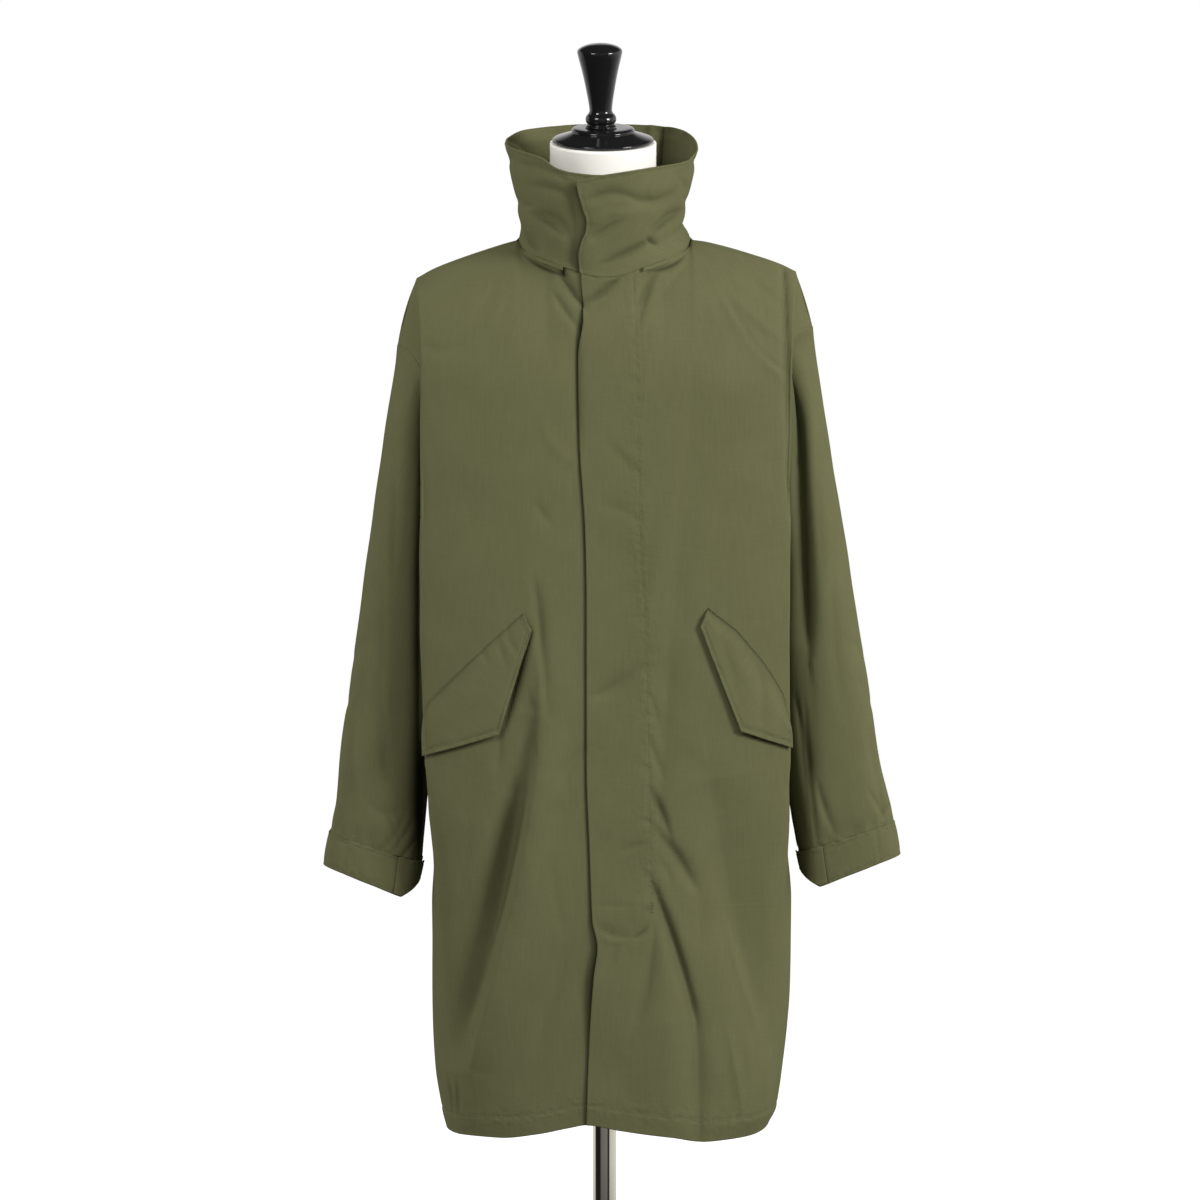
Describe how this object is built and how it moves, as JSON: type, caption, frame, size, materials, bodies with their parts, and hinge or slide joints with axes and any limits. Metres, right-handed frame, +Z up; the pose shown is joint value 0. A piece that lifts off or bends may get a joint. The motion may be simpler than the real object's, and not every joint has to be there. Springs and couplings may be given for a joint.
{
  "type": "field coat on a limbless dress form",
  "caption": "Knee-length olive field coat with a high funnel collar, covered front, slanted pocket flaps and tabbed cuffs, worn on a limbless dress form with a turned cap and a pole.",
  "frame": {"origin": "middle of the base plate's underside, on the floor", "axes": "+Z up, -Y the way the coat faces, +X towards the wearer's left"},
  "size_m": [0.6616, 0.38, 1.6555],
  "materials": {
    "olive_cloth": "close plain-weave cotton cloth with a slight sheen, olive",
    "cream_cover": "smooth stretched cream cloth cover",
    "black_lacquer": "turned wood, gloss black lacquer",
    "polished_steel": "polished tube",
    "black_base": "gloss black"
  },
  "bodies": {
    "root": {"front_left": "olive_cloth", "front_right": "olive_cloth", "back": "olive_cloth", "sleeve_left": "olive_cloth", "sleeve_right": "olive_cloth", "cuff_left": "olive_cloth", "cuff_right": "olive_cloth", "cuff_tab_left": "olive_cloth", "cuff_tab_right": "olive_cloth", "collar": "olive_cloth", "pocket_flap_left": "olive_cloth", "pocket_flap_right": "olive_cloth", "hood_loop_left": "olive_cloth", "hood_loop_right": "olive_cloth", "form_body": "cream_cover", "neck_cap": "black_lacquer", "cap_handle": "black_lacquer", "pole": "polished_steel", "pole_socket": "polished_steel", "base_plate": "black_base"}
  },
  "joints": []
}
